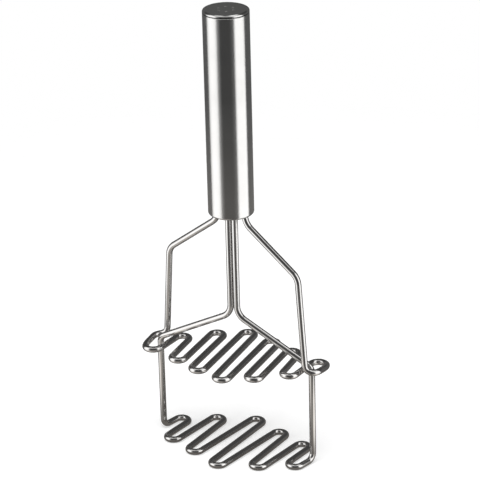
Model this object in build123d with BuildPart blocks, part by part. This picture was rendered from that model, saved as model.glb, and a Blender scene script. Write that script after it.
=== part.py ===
from build123d import *
from math import asin, degrees
import os

# Two-grid spring masher. Millimetres, +Z up. The origin is on the table, at the middle of the
# lower grid. X runs along the grids from leg to leg, and the front of the masher faces -Y.
# Both wire forms come back on themselves when turned half round about Z.

# Wire
wire_diameter = 3.7
wire_radius = wire_diameter / 2

# Lower masher: two rods, two arms, two legs and the lower grid, all one wire
leg_reach = 49.0
lower_grid_reach = 30.7
lower_bend_radius = 4.1
leg_foot_bend_radius = 4.5
leg_top_bend_radius = 5.0
arm_root_bend_radius = 9.0
arm_rise = 24.0
rod_gap = 0.3

# Places of the lower grid's bending pins from the left leg to the middle, as shares of the
# leg reach and of the furthest pin
lower_bend_shares = ((-0.865, 0.355), (-0.755, -0.365), (-0.482, 0.71), (-0.373, -0.665), (-0.031, 1.0))

# Upper masher: the outer wires, the eyelets and the upper grid, all one wire
grid_gap = 56.0
upper_grid_reach = 31.4
upper_bend_radius = 4.1
upper_bend_shares = ((-0.784, 0.255), (-0.583, -0.57), (-0.45, 0.70), (-0.24, -0.825), (-0.12, 1.0))
arm_lift = 2.5
outer_corner_reach = 43.0
outer_corner_back = 4.0
outer_corner_drop = 31.0
outer_corner_bend_radius = 9.0
outer_entry_reach = 8.5
outer_entry_drop = 5.0
outer_entry_bend_radius = 10.0

# Eyelet round the left leg: how far its wire stands off the leg to the side and to the front, and
# how high above the grid the outer wire starts to bend into it
eyelet_radius = 5.0
eyelet_front = 13.2
eyelet_rise = 7.8

# Places that the wire passes on its way from the left outer wire round the leg and into the grid,
# to the right of the leg, behind it and above the grid, as shares of these three
eyelet_shares = (
    (0.32, 0.455, 1.0),
    (0.12, 0.432, 0.474),
    (-0.44, 0.371, 0.256),
    (-0.94, 0.152, 0.218),
    (-1.02, -0.136, 0.154),
    (-1.0, -0.621, 0.051),
    (-0.7, -0.886, 0.013),
    (0.0, -1.0, 0.0),
    (0.7, -0.886, 0.0),
    (1.0, -0.621, 0.0),
)
eyelet_end_shares = (1.0, 1.0)

# Handle
foot_to_handle = 147.5
handle_diameter = 26.0
handle_length = 118.0
handle_wall = 0.8
handle_lip_depth = 0.9
handle_edge_radius = 1.2
seam_edge = 0.25

# Handle cap
cap_height = 1.5
cap_edge_radius = 1.0
cap_skirt_depth = 5.0
cap_skirt_wall = 0.9
dimple_diameter = 1.0
dimple_depth = 0.15
dimple_ring_diameter = 9.0
dimple_count = 6

# Parts inside the handle
seat_clearance = 0.05
slide_clearance = 0.3
rest_gap = 0.2
plug_height = 9.0
plug_rim_edge = 0.4
bush_wall = 1.0
bush_flange = 0.5
bush_flange_height = 1.0
rod_clearance = 0.08
stop_washer_height = 1.5
plunger_height = 8.0
plunger_spigot_height = 5.0
plunger_edge = 0.5
spring_washer_height = 1.0
spring_seat_height = 1.2
spring_wire_diameter = 1.6
spring_outer_diameter = 20.0
spring_turns = 12
spring_spigot_clearance = 0.5

# Travel of the handle down over the lower masher
press_travel = 36.0

# Levels and places that follow from the sizes above
lower_grid_level = wire_radius
upper_grid_level = lower_grid_level + grid_gap
arm_foot_level = upper_grid_level + arm_lift
arm_root_level = arm_foot_level + arm_rise
handle_foot = foot_to_handle
handle_top = handle_foot + handle_length
handle_radius = handle_diameter / 2
bore_radius = handle_radius - handle_wall
plug_foot = handle_foot + handle_wall
plug_top = plug_foot + plug_height
stop_top = plug_top + stop_washer_height
plunger_foot = stop_top + rest_gap
plunger_top = plunger_foot + plunger_height
spring_foot = plunger_top + spring_washer_height
seat_top = handle_top - cap_skirt_depth
spring_head = seat_top - spring_seat_height
rod_reach = (wire_diameter + rod_gap) / 2
outer_corner_level = handle_foot - outer_corner_drop
outer_entry_level = handle_foot - outer_entry_drop
spring_mean_radius = (spring_outer_diameter - spring_wire_diameter) / 2
spring_inner_radius = spring_outer_diameter / 2 - spring_wire_diameter


def half_turned(pins):
    """The same pins turned half round about Z, met in reverse order, so that each turn changes side."""
    return [(-x, -y, -signed_radius) for x, y, signed_radius in reversed(pins)]


def grid_pins(shares, reach, bend_radius):
    """Bending pins of one grid, as (x, y, signed radius): a left turn is positive.
    The back pins, on +Y, turn the wire right, and the front pins turn it left."""
    furthest_pin = reach - bend_radius
    half = [
        (x_share * leg_reach, y_share * furthest_pin, -bend_radius if y_share > 0 else bend_radius)
        for x_share, y_share in shares
    ]
    return half + half_turned(half)


def straight_run(pin, next_pin, level):
    """Start, end and heading of the straight wire that touches two bending pins."""
    span = Vector(next_pin[0] - pin[0], next_pin[1] - pin[1])
    slant = degrees(asin((next_pin[2] - pin[2]) / span.length))
    heading = span.normalized().rotate(Axis.Z, -slant)
    side = heading.rotate(Axis.Z, 90)
    start = Vector(pin[0], pin[1], level) - side * pin[2]
    end = Vector(next_pin[0], next_pin[1], level) - side * next_pin[2]
    return start, end, heading


def bend_middle(pin, heading_in, heading_out, level):
    """Middle point of the arc that the wire makes round one pin."""
    turn = heading_in.get_signed_angle(heading_out)
    if turn * pin[2] < 0:
        turn = turn + 360 if pin[2] > 0 else turn - 360
    side = heading_in.rotate(Axis.Z, turn / 2 + 90)
    return Vector(pin[0], pin[1], level) - side * pin[2]


def grid_runs(corner, pins):
    """Straight runs of one grid, from its left corner round the pins to its right corner.
    The corners are pins of no radius."""
    x, y, level = corner
    stops = [(x, y, 0), *pins, (-x, -y, 0)]
    return [straight_run(stop, following, level) for stop, following in zip(stops, stops[1:])]


def add_bends(pins, runs, level):
    """Adds the bends round the pins, and the runs between them, to the line being built."""
    for pin, before, after in zip(pins, runs, runs[1:]):
        ThreePointArc(before[1], bend_middle(pin, before[2], after[2], level), after[0])
        if after is not runs[-1]:
            Line(after[0], after[1])


def far_side(points):
    """Points of the wire's left side turned half round about Z, in reverse order."""
    return [(-x, -y, z) for x, y, z in reversed(points)]


def wire_section(line):
    """Plane square to the start of a line, for the wire's round section."""
    return Plane(origin=line @ 0, z_dir=line % 0)


# Lower masher wire: rods side by side from the plunger, arms, legs and lower grid
lower_pins = grid_pins(lower_bend_shares, lower_grid_reach, lower_bend_radius)
lower_stem = [
    (-rod_reach, 0, plunger_top),
    (-rod_reach, 0, arm_root_level),
    (-leg_reach, 0, arm_foot_level),
    (-leg_reach, 0, lower_grid_level),
]
lower_stem_radii = [arm_root_bend_radius, leg_top_bend_radius, leg_foot_bend_radius]
lower_runs = grid_runs(lower_stem[-1], lower_pins)

with BuildPart() as lower_masher_wire:
    with BuildLine() as lower_path:
        FilletPolyline(*lower_stem, lower_runs[0][1], radius=lower_stem_radii)
        add_bends(lower_pins, lower_runs, lower_grid_level)
        FilletPolyline(lower_runs[-1][0], *far_side(lower_stem), radius=lower_stem_radii[::-1])
    lower_wire = lower_path.wires()[0]
    with BuildSketch(wire_section(lower_wire)):
        Circle(wire_radius)
    sweep(path=lower_wire)

# Upper masher wire: down from the guide plug, out, down, round the legs and through the grid
upper_pins = grid_pins(upper_bend_shares, upper_grid_reach, upper_bend_radius)
eyelet = [
    (x_share * eyelet_radius - leg_reach, y_share * eyelet_front, z_share * eyelet_rise + upper_grid_level)
    for x_share, y_share, z_share in eyelet_shares
]
upper_stem = [
    (-outer_entry_reach, 0, plug_top),
    (-outer_entry_reach, 0, outer_entry_level),
    (-outer_corner_reach, outer_corner_back, outer_corner_level),
    eyelet[0],
]
upper_stem_radii = [outer_entry_bend_radius, outer_corner_bend_radius]
upper_runs = grid_runs(eyelet[-1], upper_pins)
down_left_wire = (Vector(upper_stem[-1]) - Vector(upper_stem[-2])).normalized()
up_right_wire = Vector(down_left_wire.X, down_left_wire.Y, -down_left_wire.Z)

with BuildPart() as upper_masher_wire:
    with BuildLine() as upper_path:
        FilletPolyline(*upper_stem, radius=upper_stem_radii)
        near_tangents = (down_left_wire, upper_runs[0][2])
        Spline(*eyelet, tangents=near_tangents, tangent_scalars=eyelet_end_shares)
        Line(upper_runs[0][0], upper_runs[0][1])
        add_bends(upper_pins, upper_runs, upper_grid_level)
        Line(upper_runs[-1][0], upper_runs[-1][1])
        far_tangents = (upper_runs[-1][2], up_right_wire)
        Spline(*far_side(eyelet), tangents=far_tangents, tangent_scalars=eyelet_end_shares)
        FilletPolyline(*far_side(upper_stem), radius=upper_stem_radii[::-1])
    upper_wire = upper_path.wires()[0]
    with BuildSketch(wire_section(upper_wire)):
        Circle(wire_radius)
    sweep(path=upper_wire)

# Handle tube: thin wall, lower end rolled inwards under the guide plug
lip_radius = bore_radius - handle_lip_depth

with BuildPart() as handle_tube:
    with BuildSketch(Plane.XZ):
        with BuildLine():
            Polyline(
                (lip_radius, handle_foot),
                (handle_radius, handle_foot),
                (handle_radius, handle_top),
                (bore_radius, handle_top),
                (bore_radius, plug_foot),
                (lip_radius, plug_foot),
                close=True,
            )
        make_face()
    revolve(axis=Axis.Z)
    foot_edge = handle_tube.edges().filter_by(GeomType.CIRCLE).group_by(Axis.Z)[0].sort_by(SortBy.RADIUS)[-1]
    fillet(foot_edge, handle_edge_radius)
    top_edge = handle_tube.edges().filter_by(GeomType.CIRCLE).group_by(Axis.Z)[-1].sort_by(SortBy.RADIUS)[-1]
    chamfer(top_edge, seam_edge)

# Handle cap: pressed disc with a rounded rim, a skirt inside the tube and a ring of dimples
cap_top = handle_top + cap_height
skirt_radius = bore_radius - seat_clearance

with BuildPart() as handle_cap:
    with BuildSketch(Plane.XY.offset(handle_top)):
        Circle(handle_radius)
    extrude(amount=cap_height)
    rim_edges = handle_cap.edges().filter_by(GeomType.CIRCLE).group_by(Axis.Z)
    fillet(rim_edges[-1], cap_edge_radius)
    chamfer(rim_edges[0], seam_edge)
    with BuildSketch(Plane.XY.offset(seat_top)):
        Circle(skirt_radius)
        Circle(skirt_radius - cap_skirt_wall, mode=Mode.SUBTRACT)
    extrude(amount=cap_skirt_depth)
    with BuildSketch(Plane.XY.offset(cap_top)):
        with PolarLocations(dimple_ring_diameter / 2, dimple_count):
            Circle(dimple_diameter / 2)
    extrude(amount=-dimple_depth, mode=Mode.SUBTRACT)

# Guide plug: steel plug in the tube's lower end, bored for the outer wires and the guide bush
bush_slot_width = wire_diameter + 2 * rod_clearance
bush_outer_width = bush_slot_width + 2 * bush_wall
bush_flange_width = bush_outer_width + 2 * bush_flange
rod_spacing = 2 * rod_reach

with BuildPart() as guide_plug:
    with BuildSketch(Plane.XY.offset(plug_foot)):
        Circle(bore_radius - seat_clearance)
        SlotCenterToCenter(rod_spacing, bush_outer_width + 2 * seat_clearance, mode=Mode.SUBTRACT)
        with GridLocations(2 * outer_entry_reach, 0, 2, 1):
            Circle(wire_radius + seat_clearance, mode=Mode.SUBTRACT)
    extrude(amount=plug_height)
    with BuildSketch(Plane.XY.offset(plug_top)):
        SlotCenterToCenter(rod_spacing, bush_flange_width + 2 * seat_clearance)
    extrude(amount=-bush_flange_height, mode=Mode.SUBTRACT)
    plug_rims = guide_plug.edges().filter_by(GeomType.CIRCLE).sort_by(SortBy.RADIUS)[-2:]
    chamfer(plug_rims, plug_rim_edge)

# Guide bush: nylon sleeve that both rods slide in
with BuildPart() as guide_bush:
    with BuildSketch(Plane.XY.offset(plug_foot)):
        SlotCenterToCenter(rod_spacing, bush_outer_width)
        SlotCenterToCenter(rod_spacing, bush_slot_width, mode=Mode.SUBTRACT)
    extrude(amount=plug_height)
    with BuildSketch(Plane.XY.offset(plug_top - bush_flange_height)):
        SlotCenterToCenter(rod_spacing, bush_flange_width)
        SlotCenterToCenter(rod_spacing, bush_slot_width, mode=Mode.SUBTRACT)
    extrude(amount=bush_flange_height)

# Stop washer: nylon ring on the plug that the plunger comes down on
with BuildPart() as stop_washer:
    with BuildSketch(Plane.XY.offset(plug_top)):
        Circle(bore_radius - slide_clearance)
        SlotCenterToCenter(rod_spacing, wire_diameter + 2 * slide_clearance, mode=Mode.SUBTRACT)
    extrude(amount=stop_washer_height)

# Plunger: slides in the tube on the rods' upper ends, with a spigot that centres the spring
plunger_radius = bore_radius - slide_clearance
spigot_radius = spring_inner_radius - spring_spigot_clearance

with BuildPart() as plunger:
    with BuildSketch(Plane.XY.offset(plunger_foot)):
        Circle(plunger_radius)
    extrude(amount=plunger_height)
    chamfer(plunger.edges().filter_by(GeomType.CIRCLE), plunger_edge)
    with BuildSketch(Plane.XY.offset(plunger_top)):
        Circle(spigot_radius)
    extrude(amount=plunger_spigot_height)
    with BuildSketch(Plane.XY.offset(plunger_foot)):
        with GridLocations(rod_spacing, 0, 2, 1):
            Circle(wire_radius + seat_clearance)
    extrude(amount=plunger_height, mode=Mode.SUBTRACT)

# Spring washer: thin steel ring between the plunger and the spring
with BuildPart() as spring_washer:
    with BuildSketch(Plane.XY.offset(plunger_top)):
        Circle(plunger_radius)
        Circle(spigot_radius + seat_clearance, mode=Mode.SUBTRACT)
    extrude(amount=spring_washer_height)

# Spring seat: steel cup under the cap's skirt that holds the spring's upper end
with BuildPart() as spring_seat:
    with BuildSketch(Plane.XY.offset(spring_head)):
        Circle(bore_radius - seat_clearance)
    extrude(amount=spring_seat_height)
    with BuildSketch(Plane.XY.offset(spring_head)):
        Circle(spigot_radius)
    extrude(amount=-plunger_spigot_height)

# Return spring: open coil, wound between the washer and the seat
spring_wire_radius = spring_wire_diameter / 2
coil_foot = spring_foot + spring_wire_radius + rest_gap
coil_height = spring_head - spring_wire_radius - rest_gap - coil_foot
coil_pitch = coil_height / spring_turns

with BuildPart() as return_spring:
    with BuildLine(Plane.XY.offset(coil_foot)):
        coil = Helix(pitch=coil_pitch, height=coil_height, radius=spring_mean_radius)
    with BuildSketch(wire_section(coil)):
        Circle(spring_wire_radius)
    sweep(path=coil, is_frenet=True)

print("gap between the spring's turns at rest", round(coil_pitch - spring_wire_diameter, 2))
print("gap when pressed", round((coil_height - press_travel) / spring_turns - spring_wire_diameter, 2))

# Every sub-part goes out under its own name
sub_parts = {
    "handle_tube": handle_tube,
    "handle_cap": handle_cap,
    "guide_plug": guide_plug,
    "guide_bush": guide_bush,
    "stop_washer": stop_washer,
    "plunger": plunger,
    "spring_washer": spring_washer,
    "return_spring": return_spring,
    "spring_seat": spring_seat,
    "upper_masher_wire": upper_masher_wire,
    "lower_masher_wire": lower_masher_wire,
}
os.makedirs("parts", exist_ok=True)
for name, builder in sub_parts.items():
    builder.part.label = name
    export_step(builder.part, f"parts/{name}.step")
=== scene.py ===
from math import asin, ceil, cos, pi, radians, sin, tan

import bmesh
import bpy
import numpy as np
from mathutils import Matrix, Vector


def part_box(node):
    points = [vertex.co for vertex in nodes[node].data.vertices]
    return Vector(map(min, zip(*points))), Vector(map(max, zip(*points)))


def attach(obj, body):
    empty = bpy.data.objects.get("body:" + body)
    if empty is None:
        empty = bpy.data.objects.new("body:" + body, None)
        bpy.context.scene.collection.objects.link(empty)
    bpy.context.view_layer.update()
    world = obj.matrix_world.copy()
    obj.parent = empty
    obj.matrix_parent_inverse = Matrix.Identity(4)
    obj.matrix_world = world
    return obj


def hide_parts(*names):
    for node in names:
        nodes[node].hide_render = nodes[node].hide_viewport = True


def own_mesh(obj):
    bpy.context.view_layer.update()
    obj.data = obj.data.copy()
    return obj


# Two-grid spring masher in the CAD frame: metres, +Z up, front towards -Y.

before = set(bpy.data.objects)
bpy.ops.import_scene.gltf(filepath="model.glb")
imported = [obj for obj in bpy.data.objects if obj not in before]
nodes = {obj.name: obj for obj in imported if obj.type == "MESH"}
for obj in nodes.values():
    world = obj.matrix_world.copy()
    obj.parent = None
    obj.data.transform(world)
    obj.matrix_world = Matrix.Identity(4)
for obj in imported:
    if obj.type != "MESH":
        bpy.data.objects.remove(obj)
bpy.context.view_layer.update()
up = Vector((0, 0, 1))

# Wire sizes, as in the CAD source
wire_radius = 0.00185
leg_reach = 0.049
rod_reach = 0.002
lower_grid_reach = 0.0307
lower_bend_radius = 0.0041
lower_bend_shares = ((-0.865, 0.355), (-0.755, -0.365), (-0.482, 0.71), (-0.373, -0.665), (-0.031, 1.0))
arm_root_bend_radius = 0.009
leg_top_bend_radius = 0.005
leg_foot_bend_radius = 0.0045
arm_lift = 0.0025
arm_rise = 0.024

grid_gap = 0.056
upper_grid_reach = 0.0314
upper_bend_radius = 0.0041
upper_bend_shares = ((-0.784, 0.255), (-0.583, -0.57), (-0.45, 0.70), (-0.24, -0.825), (-0.12, 1.0))
outer_entry_reach = 0.0085
outer_entry_drop = 0.005
outer_entry_bend_radius = 0.01
outer_corner_reach = 0.043
outer_corner_back = 0.004
outer_corner_drop = 0.031
outer_corner_bend_radius = 0.009
eyelet_radius = 0.005
eyelet_front = 0.0132
eyelet_rise = 0.0078
eyelet_shares = (
    (0.32, 0.455, 1.0),
    (0.12, 0.432, 0.474),
    (-0.44, 0.371, 0.256),
    (-0.94, 0.152, 0.218),
    (-1.02, -0.136, 0.154),
    (-1.0, -0.621, 0.051),
    (-0.7, -0.886, 0.013),
    (0.0, -1.0, 0.0),
    (0.7, -0.886, 0.0),
    (1.0, -0.621, 0.0),
)

# Levels
handle_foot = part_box("handle_tube")[0].z
handle_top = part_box("handle_tube")[1].z
handle_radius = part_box("handle_tube")[1].x
rod_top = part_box("lower_masher_wire")[1].z
stem_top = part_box("upper_masher_wire")[1].z
lower_level = wire_radius
upper_level = lower_level + grid_gap
arm_foot = upper_level + arm_lift
arm_root = arm_foot + arm_rise

# Camera, fitted to the photograph. Azimuth is to the right of the front.
camera_azimuth = radians(28.0)
camera_climb = radians(23.535)
camera_roll = radians(-1.488)
camera_distance = 1.4183
camera_aim = Vector((0, 0.0096, 0.1266))
sensor_width = 36
lens = 187.5

# Level directions towards the camera and to its right, and the way that it looks
towards = Vector((sin(camera_azimuth), -cos(camera_azimuth), 0))
aside = Vector((cos(camera_azimuth), sin(camera_azimuth), 0))
away = -towards * cos(camera_climb) - up * sin(camera_climb)


# Mesh helpers

sharp_angle = radians(35)


def new_piece(name, mesh, body, replaced, material):
    """Makes the mesh a smooth piece that rides on a CAD body in place of a CAD node."""
    mesh.shade_smooth()
    mesh.set_sharp_from_angle(angle=sharp_angle)
    mesh.materials.append(material)
    piece = bpy.data.objects.new(name, mesh)
    bpy.context.collection.objects.link(piece)
    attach(piece, body)
    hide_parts(replaced)
    return piece


def tube_mesh(name, stations, radius, sides):
    """A closed round tube through (place, heading) stations, its section carried along without twist."""
    mesh = bmesh.new()
    heading = stations[0][1]
    outward = heading.orthogonal().normalized()
    angles = [2 * pi * i / sides for i in range(sides)]
    rings = []
    for place, next_heading in stations:
        outward = heading.rotation_difference(next_heading) @ outward
        outward = (outward - outward.project(next_heading)).normalized()
        heading = next_heading
        side = heading.cross(outward)
        spokes = [cos(angle) * outward + sin(angle) * side for angle in angles]
        rings.append([mesh.verts.new(place + radius * spoke) for spoke in spokes])
    for ring, following in zip(rings, rings[1:]):
        for i in range(sides):
            mesh.faces.new((ring[i - 1], ring[i], following[i], following[i - 1]))
    mesh.faces.new(rings[0])
    mesh.faces.new(reversed(rings[-1]))
    bmesh.ops.recalc_face_normals(mesh, faces=mesh.faces)
    data = bpy.data.meshes.new(name)
    mesh.to_mesh(data)
    mesh.free()
    return data


# Wire paths: lists of (place, heading) stations, close together in the bends

bend_step = radians(7.5)
curve_steps = 8
least_spacing = 1e-6


def arc(hub, start, heading, axis, turn):
    """Stations on an arc round the hub, from start and its heading, turned about the axis."""
    count = ceil(turn / bend_step)
    turns = [Matrix.Rotation(turn * i / count, 3, axis) for i in range(count + 1)]
    return [(hub + rotation @ (start - hub), rotation @ heading) for rotation in turns]


def rounded_line(points, radii):
    """Stations along straight runs with rounded corners."""
    stations = [(points[0], (points[1] - points[0]).normalized())]
    for before, corner, after, radius in zip(points, points[1:], points[2:], radii):
        heading_in = (corner - before).normalized()
        heading_out = (after - corner).normalized()
        turn = heading_in.angle(heading_out)
        axis = heading_in.cross(heading_out).normalized()
        start = corner - heading_in * radius * tan(turn / 2)
        stations += arc(start + axis.cross(heading_in) * radius, start, heading_in, axis, turn)
    stations.append((points[-1], (points[-1] - points[-2]).normalized()))
    return stations


def smooth_slopes(points, spans, first_heading, last_heading):
    """The curve's slopes at the points, for which its curvature doesn't jump at any of them."""
    count = len(points)
    system = np.eye(count)
    wanted = np.zeros((count, 3))
    wanted[0] = first_heading
    wanted[-1] = last_heading
    for i in range(1, count - 1):
        before, after = spans[i - 1], spans[i]
        rise_in = points[i] - points[i - 1]
        rise_out = points[i + 1] - points[i]
        system[i, i - 1:i + 2] = after, 2 * (before + after), before
        wanted[i] = 3 * (after / before * rise_in + before / after * rise_out)
    return [Vector(slope) for slope in np.linalg.solve(system, wanted)]


def clamped_curve(points, first_heading, last_heading):
    """Stations along the smooth cubic through the points that leaves and arrives along two headings."""
    spans = [(after - before).length for before, after in zip(points, points[1:])]
    slopes = smooth_slopes(points, spans, first_heading, last_heading)
    stations = []
    for i, span in enumerate(spans):
        rise = points[i + 1] - points[i]
        leave, arrive = slopes[i] * span, slopes[i + 1] * span
        square = 3 * rise - 2 * leave - arrive
        cube = leave + arrive - 2 * rise
        is_last = i == len(spans) - 1
        for step in range(curve_steps + is_last):
            t = step / curve_steps
            place = points[i] + leave * t + square * t ** 2 + cube * t ** 3
            heading = leave + 2 * square * t + 3 * cube * t ** 2
            stations.append((place, heading.normalized()))
    return stations


def grid_pins(shares, reach, bend_radius):
    """Bending pins of one grid, as (x, y, signed radius): a left turn is positive."""
    furthest = reach - bend_radius
    half = [(x * leg_reach, y * furthest, -bend_radius if y > 0 else bend_radius) for x, y in shares]
    return half + [(-x, -y, -signed_radius) for x, y, signed_radius in reversed(half)]


def straight_run(pin, next_pin, level):
    """Start, end and heading of the straight wire that touches two bending pins."""
    span = Vector((next_pin[0] - pin[0], next_pin[1] - pin[1], 0))
    slant = asin((next_pin[2] - pin[2]) / span.length)
    heading = Matrix.Rotation(-slant, 3, "Z") @ span.normalized()
    side = up.cross(heading)
    start = Vector((pin[0], pin[1], level)) - side * pin[2]
    end = Vector((next_pin[0], next_pin[1], level)) - side * next_pin[2]
    return start, end, heading


def grid_stations(corner, pins, level):
    """Stations of one grid from its first bend to its last, and the straight run before them."""
    stops = [(corner.x, corner.y, 0), *pins, (-corner.x, -corner.y, 0)]
    runs = [straight_run(stop, following, level) for stop, following in zip(stops, stops[1:])]
    stations = []
    for pin, before, after in zip(pins, runs, runs[1:]):
        turn = before[2].xy.angle_signed(after[2].xy) * (-1 if pin[2] > 0 else 1)
        turn = turn if turn > 0 else turn + 2 * pi
        axis = up if pin[2] > 0 else -up
        stations += arc(Vector((pin[0], pin[1], level)), before[1], before[2], axis, turn)
    return stations, runs[0]


def half_turned(stations):
    """The same stations turned half round about Z, met in reverse order."""
    return [
        (Vector((-place.x, -place.y, place.z)), Vector((heading.x, heading.y, -heading.z)))
        for place, heading in reversed(stations)
    ]


def without_repeats(stations):
    """The stations without those that lie on the one before."""
    kept = [stations[0]]
    for station in stations[1:]:
        if (station[0] - kept[-1][0]).length > least_spacing:
            kept.append(station)
    return kept


def lower_wire_stations():
    """Rods, arms, legs and the lower grid."""
    stem = [
        Vector((-rod_reach, 0, rod_top)),
        Vector((-rod_reach, 0, arm_root)),
        Vector((-leg_reach, 0, arm_foot)),
        Vector((-leg_reach, 0, lower_level)),
    ]
    pins = grid_pins(lower_bend_shares, lower_grid_reach, lower_bend_radius)
    grid, first_run = grid_stations(stem[-1], pins, lower_level)
    radii = [arm_root_bend_radius, leg_top_bend_radius, leg_foot_bend_radius]
    left_side = rounded_line([*stem, first_run[1]], radii)
    return without_repeats(left_side + grid + half_turned(left_side))


def upper_wire_stations():
    """Outer wires, eyelets round the legs and the upper grid."""
    eyelet = [
        Vector((x * eyelet_radius - leg_reach, y * eyelet_front, z * eyelet_rise + upper_level))
        for x, y, z in eyelet_shares
    ]
    stem = [
        Vector((-outer_entry_reach, 0, stem_top)),
        Vector((-outer_entry_reach, 0, handle_foot - outer_entry_drop)),
        Vector((-outer_corner_reach, outer_corner_back, handle_foot - outer_corner_drop)),
        eyelet[0],
    ]
    pins = grid_pins(upper_bend_shares, upper_grid_reach, upper_bend_radius)
    grid, first_run = grid_stations(eyelet[-1], pins, upper_level)
    left_side = rounded_line(stem, [outer_entry_bend_radius, outer_corner_bend_radius])
    left_side += clamped_curve(eyelet, left_side[-1][1], first_run[2])
    return without_repeats(left_side + grid + half_turned(left_side))


# Node helpers

# Where most of a noise's values lie
noise_low = 0.3
noise_high = 0.7
blotch_detail = 3.0


class Shader:
    """A node tree being written: add() makes a node, link() joins two sockets."""

    def __init__(self, tree):
        self.tree = tree
        tree.nodes.clear()

    def add(self, kind, **settings):
        node = self.tree.nodes.new(kind)
        for name, value in settings.items():
            setattr(node, name, value)
        return node

    def link(self, source, target):
        self.tree.links.new(source, target)

    def fill(self, sockets, values):
        """Gives each socket its value, which is a socket to link, a plain value, or None to leave it."""
        for socket, value in zip(sockets, values):
            if isinstance(value, bpy.types.NodeSocket):
                self.link(value, socket)
            elif value is not None:
                socket.default_value = value

    def math(self, operation, first, second=None, clamp=False):
        """A Math node's result; first and second are sockets or numbers."""
        node = self.add("ShaderNodeMath", operation=operation, use_clamp=clamp)
        self.fill(node.inputs, (first, second))
        return node.outputs[0]

    def vector_math(self, operation, first, second=None):
        """A Vector Math node; its outputs are Vector and Value."""
        node = self.add("ShaderNodeVectorMath", operation=operation)
        self.fill(node.inputs, (first, second))
        return node

    def ramp(self, factor, stops, interpolation="EASE"):
        """A grey ramp through (position, level) stops, or a colour ramp through (position, colour) stops."""
        node = self.add("ShaderNodeValToRGB")
        node.color_ramp.interpolation = interpolation
        elements = node.color_ramp.elements
        while len(elements) < len(stops):
            elements.new(1.0)
        for element, (position, value) in zip(elements, stops):
            element.position = position
            colour = (value, value, value) if isinstance(value, (int, float)) else value
            element.color = (*colour, 1)
        self.link(factor, node.inputs[0])
        return node.outputs[0]

    def window(self, factor, stops):
        """A ramp that comes up between the first two stops and fades between the last two."""
        return self.ramp(factor, list(zip(stops, (0.0, 1.0, 1.0, 0.0))))

    def wander(self, noise, ends):
        """Values or colours that follow a noise from one end to the other."""
        return self.ramp(noise, [(noise_low, ends[0]), (noise_high, ends[1])], "LINEAR")

    def noise(self, vector, scale, detail=2.0, roughness=0.5):
        node = self.add("ShaderNodeTexNoise")
        node.inputs["Scale"].default_value = scale
        node.inputs["Detail"].default_value = detail
        node.inputs["Roughness"].default_value = roughness
        self.link(vector, node.inputs["Vector"])
        return node.outputs["Fac"]

    def stretched(self, vector, scales):
        node = self.add("ShaderNodeMapping")
        node.inputs["Scale"].default_value = scales
        self.link(vector, node.inputs["Vector"])
        return node.outputs["Vector"]

    def bump(self, height, distance=1.0):
        """The normal of a surface that the height, times the distance, lifts in metres."""
        node = self.add("ShaderNodeBump")
        node.inputs["Strength"].default_value = 1.0
        node.inputs["Distance"].default_value = distance
        self.link(height, node.inputs["Height"])
        return node.outputs["Normal"]

    def glow(self, strength, colour=(1, 1, 1, 1)):
        node = self.add("ShaderNodeEmission")
        node.inputs["Color"].default_value = colour
        self.fill([node.inputs["Strength"]], [strength])
        return node.outputs[0]

    def mix_colour(self, factor, first, second):
        """The first colour turned into the second by the factor; each is a socket or four numbers."""
        node = self.add("ShaderNodeMix", data_type="RGBA")
        self.fill((node.inputs[0], node.inputs[6], node.inputs[7]), (factor, first, second))
        return node.outputs[2]

    def mix_shader(self, factor, first, second):
        node = self.add("ShaderNodeMixShader")
        self.fill(node.inputs, (factor, first, second))
        return node.outputs[0]

    def add_shader(self, first, second):
        node = self.add("ShaderNodeAddShader")
        self.fill(node.inputs, (first, second))
        return node.outputs[0]

    def seen_directly(self):
        """One for a ray that the camera sees, straight or through glass, and otherwise nought."""
        path = self.add("ShaderNodeLightPath").outputs
        return self.math("ADD", path["Is Camera Ray"], path["Is Transmission Ray"], clamp=True)

    def show(self, surface):
        """Links the finished surface to the material's output."""
        self.link(surface, self.add("ShaderNodeOutputMaterial").inputs["Surface"])


def new_material(name):
    material = bpy.data.materials.new(name)
    material.use_nodes = True
    return material, Shader(material.node_tree)


# Metal

metal_grain_roughness = 0.6

# Painted shade in the joint under the cap and up the cap's lower edge, as (millimetres above the joint,
# share of the colour) stops
millimetre = 0.001
joint_shade_stops = ((-0.06, 0.0), (-0.03, 1.0), (0.42, 1.0), (0.48, 0.0))
joint_shade_colour = (0.03, 0.03, 0.03, 1)
# Where the joint lies on the painted shade's ramp, which is a millimetre long
joint_place = 0.5

# The cap's rolled rim, as (share of the handle's radius, share of the rim's depth) stops
rim_roll_shares = [(0.877, 1.0), (0.931, 0.28), (0.946, 0.14), (0.962, 0.04), (0.977, 0.0)]
rim_depth = 0.0007


def seam_painted_shade(sh, above_joint):
    """How far painted shade darkens the metal just above the joint."""
    along_ramp = sh.math("ADD", sh.math("DIVIDE", above_joint, millimetre), joint_place)
    return sh.ramp(along_ramp, [(joint_place + rise, share) for rise, share in joint_shade_stops], "LINEAR")


def rim_relief(sh, place, above_joint):
    """How far the cap's top stands above its outer edge."""
    flat = sh.vector_math("MULTIPLY", place, (1, 1, 0)).outputs["Vector"]
    share_out = sh.math("DIVIDE", sh.vector_math("LENGTH", flat).outputs["Value"], handle_radius)
    on_cap = sh.math("GREATER_THAN", above_joint, 0.0)
    roll = sh.math("MULTIPLY", sh.ramp(share_out, rim_roll_shares, "LINEAR"), on_cap)
    return sh.math("MULTIPLY", roll, rim_depth)


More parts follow.
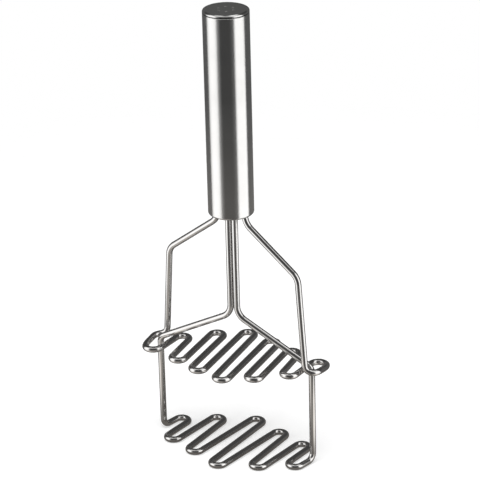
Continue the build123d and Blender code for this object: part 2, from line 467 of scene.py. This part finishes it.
def metal(name, colours, roughness_ends, grain, grain_depth, blotch_scale, has_seam=False):
    """A metal whose colour and roughness wander with slow blotches and whose surface carries a fine grain.
    With a seam, painted shade darkens the joint under the cap and the cap's rim is rolled."""
    material, sh = new_material(name)
    place = sh.add("ShaderNodeTexCoord").outputs["Object"]
    surface = sh.add("ShaderNodeBsdfPrincipled")
    surface.inputs["Metallic"].default_value = 1.0
    blotch = sh.noise(place, blotch_scale, blotch_detail)
    colour = sh.wander(blotch, colours)
    fine = sh.noise(sh.stretched(place, grain), 1.0, roughness=metal_grain_roughness)
    halves = sh.math("ADD", sh.math("MULTIPLY", blotch, 0.5), sh.math("MULTIPLY", fine, 0.5))
    relief = sh.math("MULTIPLY", fine, grain_depth)
    if has_seam:
        height = sh.add("ShaderNodeSeparateXYZ")
        sh.link(place, height.inputs[0])
        above_joint = sh.math("SUBTRACT", height.outputs["Z"], handle_top)
        # Painted shade: the joint under the cap and the cap's lower edge are darkened in the colour
        colour = sh.mix_colour(seam_painted_shade(sh, above_joint), colour, joint_shade_colour)
        relief = sh.math("ADD", relief, rim_relief(sh, place, above_joint))
    sh.link(colour, surface.inputs["Base Color"])
    sh.link(sh.wander(halves, roughness_ends), surface.inputs["Roughness"])
    sh.link(sh.bump(relief), surface.inputs["Normal"])
    sh.show(surface.outputs[0])
    return material


satin_steel = metal(
    "satin_steel",
    colours=((0.61, 0.605, 0.595), (0.66, 0.655, 0.645)),
    roughness_ends=(0.13, 0.19),
    grain=(1400, 1400, 1100),
    grain_depth=0.00002,
    blotch_scale=60,
    has_seam=True,
)
polished_wire = metal(
    "polished_wire",
    colours=((0.62, 0.61, 0.60), (0.68, 0.67, 0.66)),
    roughness_ends=(0.11, 0.14),
    grain=(420, 420, 420),
    grain_depth=0.0000004,
    blotch_scale=90,
)
turned_steel = metal(
    "turned_steel",
    colours=((0.50, 0.50, 0.51), (0.58, 0.58, 0.59)),
    roughness_ends=(0.22, 0.36),
    grain=(400, 400, 5000),
    grain_depth=0.000008,
    blotch_scale=120,
)
spring_steel = metal(
    "spring_steel",
    colours=((0.30, 0.31, 0.33), (0.42, 0.42, 0.43)),
    roughness_ends=(0.2, 0.38),
    grain=(600, 600, 3000),
    grain_depth=0.000006,
    blotch_scale=160,
)


# Plastic

def plastic(name, colours, roughness_ends, blotch_scale, grain_scale, grain_depth, scatter, scatter_reach):
    """A moulded plastic with slow colour wander and a fine moulded grain."""
    material, sh = new_material(name)
    place = sh.add("ShaderNodeTexCoord").outputs["Object"]
    surface = sh.add("ShaderNodeBsdfPrincipled")
    surface.inputs["Subsurface Weight"].default_value = scatter
    surface.inputs["Subsurface Radius"].default_value = scatter_reach
    blotch = sh.noise(place, blotch_scale, blotch_detail)
    fine = sh.noise(place, grain_scale)
    sh.link(sh.wander(blotch, colours), surface.inputs["Base Color"])
    sh.link(sh.wander(fine, roughness_ends), surface.inputs["Roughness"])
    sh.link(sh.bump(fine, grain_depth), surface.inputs["Normal"])
    sh.show(surface.outputs[0])
    return material


nylon = plastic(
    "nylon",
    colours=((0.84, 0.83, 0.775), (0.88, 0.87, 0.82)),
    roughness_ends=(0.42, 0.58),
    blotch_scale=150,
    grain_scale=3000,
    grain_depth=0.00001,
    scatter=0.2,
    scatter_reach=(0.001, 0.001, 0.0008),
)


# CAD nodes that keep their shape

def assign(material, *names):
    for name in names:
        for material_slot in nodes[name].material_slots:
            material_slot.material = material


assign(satin_steel, "handle_tube", "handle_cap")
assign(turned_steel, "guide_plug", "plunger", "spring_washer", "spring_seat")
assign(nylon, "guide_bush", "stop_washer")


# Wire forms

wire_sides = 32
lower_mesh = tube_mesh("lower_wire_form", lower_wire_stations(), wire_radius, wire_sides)
upper_mesh = tube_mesh("upper_wire_form", upper_wire_stations(), wire_radius, wire_sides)
new_piece("lower_wire_form", lower_mesh, "lower_masher", "lower_masher_wire", polished_wire)
new_piece("upper_wire_form", upper_mesh, "handle", "upper_masher_wire", polished_wire)


# Return spring

spring_low, spring_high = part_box("return_spring")
spring_length = spring_high.z - spring_low.z
spring_wire_radius = 0.0008
spring_sides = 12
spring_turns = 12
closed_turns = 1.0
closed_pitch_share = 2.2
steps_per_turn = 32


def spring_stations():
    """A coil whose end turns lie nearly flat, as on a spring that stands on a washer."""
    radius = spring_high.x - spring_wire_radius
    climb_in_all = spring_length - 2 * spring_wire_radius
    closed_pitch = closed_pitch_share * spring_wire_radius
    open_turns = spring_turns - 2 * closed_turns
    open_pitch = (climb_in_all - 2 * closed_turns * closed_pitch) / open_turns
    places = []
    level = spring_low.z + spring_wire_radius
    for i in range(spring_turns * steps_per_turn + 1):
        angle = 2 * pi * i / steps_per_turn
        places.append(Vector((radius * cos(angle), radius * sin(angle), level)))
        turns_done = (i + 0.5) / steps_per_turn
        is_closed = min(turns_done, spring_turns - turns_done) < closed_turns
        level += (closed_pitch if is_closed else open_pitch) / steps_per_turn
    headings = [places[1] - places[0]]
    headings += [after - before for before, after in zip(places, places[2:])]
    headings.append(places[-1] - places[-2])
    return [(place, heading.normalized()) for place, heading in zip(places, headings)]


spring_mesh = tube_mesh("coil_spring", spring_stations(), spring_wire_radius, spring_sides)
spring = new_piece("coil_spring", spring_mesh, "lower_masher", "return_spring", spring_steel)
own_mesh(spring)


# World: a dim room with soft panels of light, and white to the eye

room_level = 0.07
background_level = 1.0

back_wall_level = 0.055
back_wall_climbs = (-40, -30, 19, 25)
back_wall_fade = 0.3

# Each panel has (bearing, level) stops and four climbs, in degrees. A bearing is counted from the camera,
# to its right, and a climb from the horizon.
panel_level = 1.48
side_climbs = (-44, -34, 46, 58)
left_panel = (
    ((-109, 0.0), (-104, 0.55), (-96, 0.88), (-84, 1.0), (-66, 1.0), (-54, 0.87), (-47, 0.25), (-41, 0.12),
     (-31, 0.0)),
    side_climbs,
)
right_panel = (((34, 0.0), (44, 1.0), (84, 1.0), (89, 0.0)), side_climbs)
low_right_panel = (((34, 0.0), (44, 1.0), (94, 1.0), (100, 0.0)), (-44, -34, -19, -14))
right_spill = (((16, 0.0), (36, 0.06), (44, 0.06), (50, 0.0)), side_climbs)
top_panel = (
    ((-118, 0.0), (-103, 0.6), (-60, 0.6), (-35, 0.42), (35, 0.42), (60, 0.8), (112, 0.8), (122, 0.0)),
    (56, 60, 79, 84),
)
panels = (left_panel, right_panel, low_right_panel, right_spill, top_panel)


def bearing_place(degrees):
    """Where a bearing from the camera lies on a ramp."""
    return degrees / 360 + 0.5


def climb_places(climbs):
    """Where climbs lie on a ramp from straight down to straight up."""
    return [sin(radians(degrees)) / 2 + 0.5 for degrees in climbs]


def room_light(sh, direction):
    """The room's light from a direction."""
    across = sh.vector_math("DOT_PRODUCT", direction, aside).outputs["Value"]
    along = sh.vector_math("DOT_PRODUCT", direction, towards).outputs["Value"]
    rise = sh.vector_math("DOT_PRODUCT", direction, up).outputs["Value"]
    bearing = sh.math("ADD", sh.math("DIVIDE", sh.math("ARCTAN2", across, along), 2 * pi), 0.5)
    height = sh.math("ADD", sh.math("MULTIPLY", rise, 0.5), 0.5)
    lit = 0.0
    for stops, climbs in panels:
        sideways = sh.ramp(bearing, [(bearing_place(degrees), level) for degrees, level in stops], "LINEAR")
        panel = sh.math("MULTIPLY", sideways, sh.window(height, climb_places(climbs)))
        lit = sh.math("MAXIMUM", panel, lit)
    back_wall = sh.math("MULTIPLY", sh.ramp(along, [(0.0, 1.0), (back_wall_fade, 0.0)]),
                        sh.window(height, climb_places(back_wall_climbs)))
    dim_light = sh.math("ADD", sh.math("MULTIPLY", back_wall, back_wall_level), room_level)
    return sh.math("ADD", sh.math("MULTIPLY", lit, panel_level), dim_light)


def make_world():
    """White where the camera sees it, past the object or through glass, and the room where metal does."""
    world = bpy.data.worlds.new("studio")
    world.use_nodes = True
    sh = Shader(world.node_tree)
    direction = sh.add("ShaderNodeTexCoord").outputs["Generated"]
    level = sh.add("ShaderNodeMix", data_type="FLOAT")
    sh.fill((level.inputs[0], level.inputs[2], level.inputs[3]),
            (sh.seen_directly(), room_light(sh, direction), background_level))
    background = sh.add("ShaderNodeBackground")
    background.inputs["Color"].default_value = (1, 1, 1, 1)
    sh.link(level.outputs[0], background.inputs["Strength"])
    sh.link(background.outputs[0], sh.add("ShaderNodeOutputWorld").inputs["Surface"])
    bpy.context.scene.world = world


make_world()


# Floor: white paper to the eye, and to the metal a dim polished table with painted light and shade that
# fades out around the object

floor_radius = 0.6
floor_sides = 96
paper_colour = (0.62, 0.62, 0.62, 1)
paper_glow = 0.53
# Stops are (metres from the floor's middle, level)
paper_edge = [(0.35, 1.0), (0.58, 0.0)]
# Painted light and shade seen only in the metal: the colour of the table's glow, and the glow itself, dimmer
# right under the object as painted shade
painted_glow_tint = (1.0, 0.94, 0.87, 1)
table_glow = [(0.0, 0.12), (0.06, 0.19), (0.11, 0.14), (0.18, 0.02), (0.27, 0.02), (0.36, 0.09), (0.58, 0.0)]
table_polish = [(0.03, 0.0), (0.11, 0.42), (0.15, 0.42), (0.27, 1.0)]

# Painted pools of light on the table, seen only in the metal, each with its middle and (metres from there,
# level) stops
painted_light_pools = (
    (towards * 0.12 - aside * 0.09, [(0.07, 0.3), (0.13, 0.0)]),
    (towards * 0.07 + aside * 0.10, [(0.03, 0.6), (0.065, 0.0)]),
    (towards * 0.01 - aside * 0.108, [(0.025, 0.4), (0.055, 0.0)]),
)


def reach(sh, place, centre):
    """How far a place on the floor lies from the centre."""
    return sh.vector_math("DISTANCE", place, centre).outputs["Value"]


def mirrored_table(sh, place, off_centre):
    """What the metal sees: a faint painted glow, dimmer under the object as painted shade and lifted by
    painted pools of light, and the room in the table's polish.
    """
    glow = sh.ramp(off_centre, table_glow, "LINEAR")
    # Painted pools of light added to the table's glow
    for centre, stops in painted_light_pools:
        glow = sh.math("ADD", glow, sh.ramp(reach(sh, place, centre), stops))
    polish = sh.add("ShaderNodeBsdfTransparent")
    sh.link(sh.ramp(off_centre, table_polish), polish.inputs["Color"])
    return sh.add_shader(sh.glow(glow, painted_glow_tint), polish.outputs[0])


def floor_material():
    material, sh = new_material("studio_floor")
    place = sh.add("ShaderNodeTexCoord").outputs["Object"]
    off_centre = reach(sh, place, (0, 0, 0))
    paper = sh.add("ShaderNodeBsdfDiffuse")
    paper.inputs["Color"].default_value = paper_colour
    white = sh.add_shader(paper.outputs[0], sh.glow(paper_glow))
    clear = sh.add("ShaderNodeBsdfTransparent")
    seen_floor = sh.mix_shader(sh.ramp(off_centre, paper_edge), clear.outputs[0], white)
    in_metal = sh.add("ShaderNodeLightPath").outputs["Is Glossy Ray"]
    surface = sh.mix_shader(in_metal, paper.outputs[0], mirrored_table(sh, place, off_centre))
    sh.show(sh.mix_shader(sh.seen_directly(), surface, seen_floor))
    return material


bpy.ops.mesh.primitive_circle_add(vertices=floor_sides, radius=floor_radius, fill_type="TRIFAN")
floor = bpy.context.object
floor.name = "studio_floor"
floor.data.materials.append(floor_material())


# Lamp

lamp_place = towards * 0.33 - aside * 0.1 + up * 1.25
lamp_aim = up * 0.05
lamp_size = 0.7
lamp_power = 10
lamp_data = bpy.data.lights.new("key_lamp", "AREA")
lamp_data.shape = "DISK"
lamp_data.size = lamp_size
lamp_data.energy = lamp_power
lamp = bpy.data.objects.new("key_lamp", lamp_data)
lamp.location = lamp_place
lamp.rotation_euler = (lamp_aim - lamp_place).to_track_quat("-Z", "Y").to_euler()
lamp.visible_camera = False
lamp.visible_glossy = False
bpy.context.collection.objects.link(lamp)


# Camera

camera_data = bpy.data.cameras.new("camera")
camera_data.sensor_width = sensor_width
camera_data.lens = lens
camera = bpy.data.objects.new("camera", camera_data)
bpy.context.collection.objects.link(camera)
camera_turn = away.to_track_quat("-Z", "Y").to_matrix() @ Matrix.Rotation(camera_roll, 3, "Z")
camera.matrix_world = Matrix.Translation(camera_aim - away * camera_distance) @ camera_turn.to_4x4()
bpy.context.scene.camera = camera
bpy.context.scene.view_settings.view_transform = "Standard"
